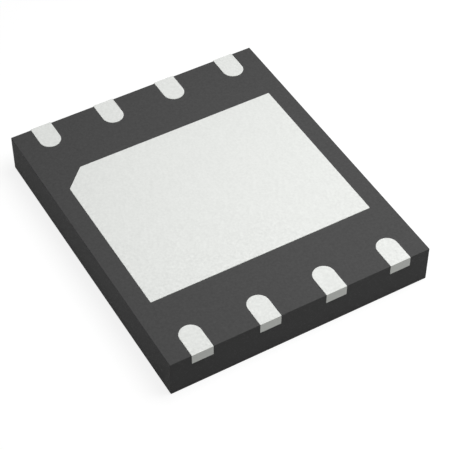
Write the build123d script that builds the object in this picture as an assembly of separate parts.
from build123d import *
import math
import os

# An eight-terminal chip package with no leads, 5 mm by 6 mm and 0.76 mm high. All sizes are in millimetres.
# It lies on its marking face with the solder faces up. X runs along the two rows of terminals, Y runs
# across them and Z is up. The origin is the middle of the marking face.

# Moulded body
body_along_rows = 5.00
body_across_rows = 6.00
body_height = 0.75

# Index dimple in the marking face, in the corner beside terminal 1
dimple_diameter = 0.50
dimple_depth = 0.03
dimple_edge_distance = 0.70

# Lead frame: one sheet of copper, etched through from both faces and half through from the solder side
frame_thickness = 0.20
half_etch_depth = 0.10
half_etch_foot = 0.04
solder_face_standoff = 0.01

# Terminals
terminals_in_row = 4
terminal_pitch = 1.27
terminal_width = 0.40
terminal_length = 0.60
terminal_end_standoff = 0.01
terminal_ledge = 0.06
terminal_tip_ledge = 0.16
terminal_ledge_setback = 0.15

# Thermal pad, whose inner face carries the die
pad_along_rows = 4.30
pad_across_rows = 3.40
pad_index_chamfer = 0.40
pad_ledge = 0.10

# Die and the adhesive under it
die_along_rows = 3.20
die_across_rows = 2.40
die_thickness = 0.20
adhesive_thickness = 0.025
adhesive_bleed = 0.09
adhesive_climb = 0.06
adhesive_lip = 0.015

# Bond wires, given flats because there are many and they are too fine for their roundness to show
wire_diameter = 0.025
wire_flat_count = 8
bond_site_pitch = 0.62
bond_site_inset = 0.12
ball_diameter = 0.075
ball_contact_diameter = 0.062
ball_height = 0.020
loop_height = 0.14
loop_span = 0.26
loop_neck_radius = 0.045
loop_shoulder_radius = 0.45
stitch_length = 0.13
stitch_width = 0.060
stitch_heel_width = 0.020
stitch_height = 0.010
stitch_inset = 0.12

# Heights that follow from those sizes
solder_face_z = body_height + solder_face_standoff
bonding_face_z = solder_face_z - frame_thickness
ledge_thickness = frame_thickness - half_etch_depth
die_back_z = bonding_face_z - adhesive_thickness
die_face_z = die_back_z - die_thickness
loop_z = die_face_z - loop_height

# Places along Y that follow from those sizes, for the row on the +Y side
body_side_y = body_across_rows / 2
terminal_end_y = body_side_y + terminal_end_standoff
terminal_inner_y = terminal_end_y - terminal_length
ledge_tip_y = terminal_inner_y - terminal_tip_ledge
stitch_y = ledge_tip_y + stitch_inset
ball_y = die_across_rows / 2 - bond_site_inset


def places_in_row(pitch):
    """Places along X of one row, centred on the body."""
    middle = (terminals_in_row - 1) / 2
    return [(number - middle) * pitch for number in range(terminals_in_row)]


def opposite(shape):
    """The same piece in the other row, half a turn round the middle of the body."""
    return Rot(0, 0, 180) * shape


def finger_plan(width, outer_y, inner_y):
    """Outline of a finger that runs along Y: a straight outer end and a full-round inner end."""
    radius = width / 2
    straight = outer_y - inner_y - radius
    shank = Pos(0, outer_y - straight / 2) * Rectangle(width, straight)
    nose = Pos(0, inner_y + radius) * Circle(radius)
    return shank + nose


def half_etched(outline, ledge_outline):
    """Copper of full thickness inside its outline, etched down to a ledge with a sloping foot around it."""
    full = extrude(outline, frame_thickness)
    ledge = extrude(ledge_outline, ledge_thickness)
    blank = full + ledge
    inside_corners = new_edges(full, ledge, combined=blank).group_by(Axis.Z)[-1]
    return Pos(0, 0, bonding_face_z) * chamfer(inside_corners, half_etch_foot)


def terminal(x):
    """A terminal of the +Y row, with the half-etched ledge that locks it in the moulding."""
    outline = finger_plan(terminal_width, terminal_end_y, terminal_inner_y)
    ledge_width = terminal_width + 2 * terminal_ledge
    ledge_outline = finger_plan(ledge_width, body_side_y - terminal_ledge_setback, ledge_tip_y)
    return Pos(x, 0, 0) * half_etched(outline, ledge_outline)


def thermal_pad():
    """The die paddle: its solder face has the index corner cut off, and its ledge follows that outline."""
    blank = Rectangle(pad_along_rows, pad_across_rows)
    index_corner = blank.vertices().group_by(Axis.X)[0].sort_by(Axis.Y)[-1]
    outline = chamfer(index_corner, pad_index_chamfer)
    ledge_outline = offset(outline, pad_ledge, kind=Kind.INTERSECTION)
    return half_etched(outline, ledge_outline)


def silicon_die():
    """The die, face down in this attitude, sawn with sharp edges."""
    block = Rectangle(die_along_rows, die_across_rows)
    return Pos(0, 0, die_face_z) * extrude(block, die_thickness)


def die_attach(die):
    """The adhesive: a thin layer under the die, and a sloping fillet that climbs the foot of its sides."""
    foot_along = die_along_rows + 2 * adhesive_bleed
    foot_across = die_across_rows + 2 * adhesive_bleed
    height = adhesive_thickness + adhesive_climb
    slope = math.degrees(math.atan2(adhesive_bleed - adhesive_lip, height))
    foot = RectangleRounded(foot_along, foot_across, adhesive_bleed)
    return Pos(0, 0, bonding_face_z) * extrude(foot, -height, taper=slope) - die


def ball_bond():
    """The squashed ball at the start of a wire: a barrel that hangs below Z = 0 on its own axis."""
    contact = RegularPolygon(ball_contact_diameter / 2, wire_flat_count)
    waist = Pos(0, 0, -ball_height / 2) * RegularPolygon(ball_diameter / 2, wire_flat_count)
    shoulder = Pos(0, 0, -ball_height) * contact
    return loft([contact, waist, shoulder], ruled=True)


def stitch_plan():
    """The flattened tail of a wire, which spreads along +X from the heel to a blunt fishtail."""
    heel = stitch_heel_width / 2
    side = stitch_width / 2
    tail = stitch_length / 2
    anticlockwise = [(-tail, -heel), (0, -side), (tail, -side), (tail, side), (0, side), (-tail, heel)]
    return Polygon(*anticlockwise, align=None)


def bond_wire(ball_x, stitch_x):
    """A wire of the +Y row: ball on the die face, neck, low loop, and stitch on the terminal."""
    heading = Vector(stitch_x - ball_x, stitch_y - ball_y, 0).normalized()
    start = Vector(ball_x, ball_y, die_face_z - ball_height / 2)
    neck = Vector(ball_x, ball_y, loop_z)
    shoulder = neck + heading * loop_span
    landing = Vector(stitch_x, stitch_y, bonding_face_z)
    slope = (landing - shoulder).normalized()
    overrun = landing + slope * (wire_diameter / slope.Z)
    bends = [loop_neck_radius, loop_shoulder_radius]
    route = FilletPolyline(start, neck, shoulder, overrun, radius=bends)
    start_plane = Plane(start, x_dir=heading, z_dir=(0, 0, -1))
    section = start_plane * RegularPolygon(wire_diameter / 2, wire_flat_count)
    tube = sweep(section, path=route)
    ball = Pos(ball_x, ball_y, die_face_z) * ball_bond()
    stitch_plane = Plane(landing, x_dir=heading, z_dir=(0, 0, -1))
    stitch = extrude(stitch_plane * stitch_plan(), stitch_height)
    return split(tube + ball + stitch, bisect_by=stitch_plane, keep=Keep.TOP)


def moulded_body(pieces):
    """The epoxy block: sawn sides, an index dimple, and a bed that fits every piece cast into it."""
    block = extrude(Rectangle(body_along_rows, body_across_rows), body_height)
    dimple_x = -(body_along_rows / 2 - dimple_edge_distance)
    dimple_y = body_across_rows / 2 - dimple_edge_distance
    dimple = Pos(dimple_x, dimple_y) * extrude(Circle(dimple_diameter / 2), dimple_depth)
    return block - dimple - pieces


def chip():
    """Every piece of the package, by name."""
    pieces = {"thermal_pad": thermal_pad(), "silicon_die": silicon_die()}
    pieces["die_attach"] = die_attach(pieces["silicon_die"])
    terminal_places = places_in_row(terminal_pitch)
    bond_sites = places_in_row(bond_site_pitch)
    for number, (x, site) in enumerate(zip(terminal_places, bond_sites), start=1):
        across = number + terminals_in_row
        pieces[f"terminal_{number}"] = terminal(x)
        pieces[f"terminal_{across}"] = opposite(pieces[f"terminal_{number}"])
        pieces[f"bond_wire_{number}"] = bond_wire(site, x)
        pieces[f"bond_wire_{across}"] = opposite(pieces[f"bond_wire_{number}"])
    pieces["moulded_body"] = moulded_body(list(pieces.values()))
    return pieces


os.makedirs("parts", exist_ok=True)
for name, piece in chip().items():
    export_step(piece, f"parts/{name}.step")
    print(name, round(piece.volume, 5), "mm3")
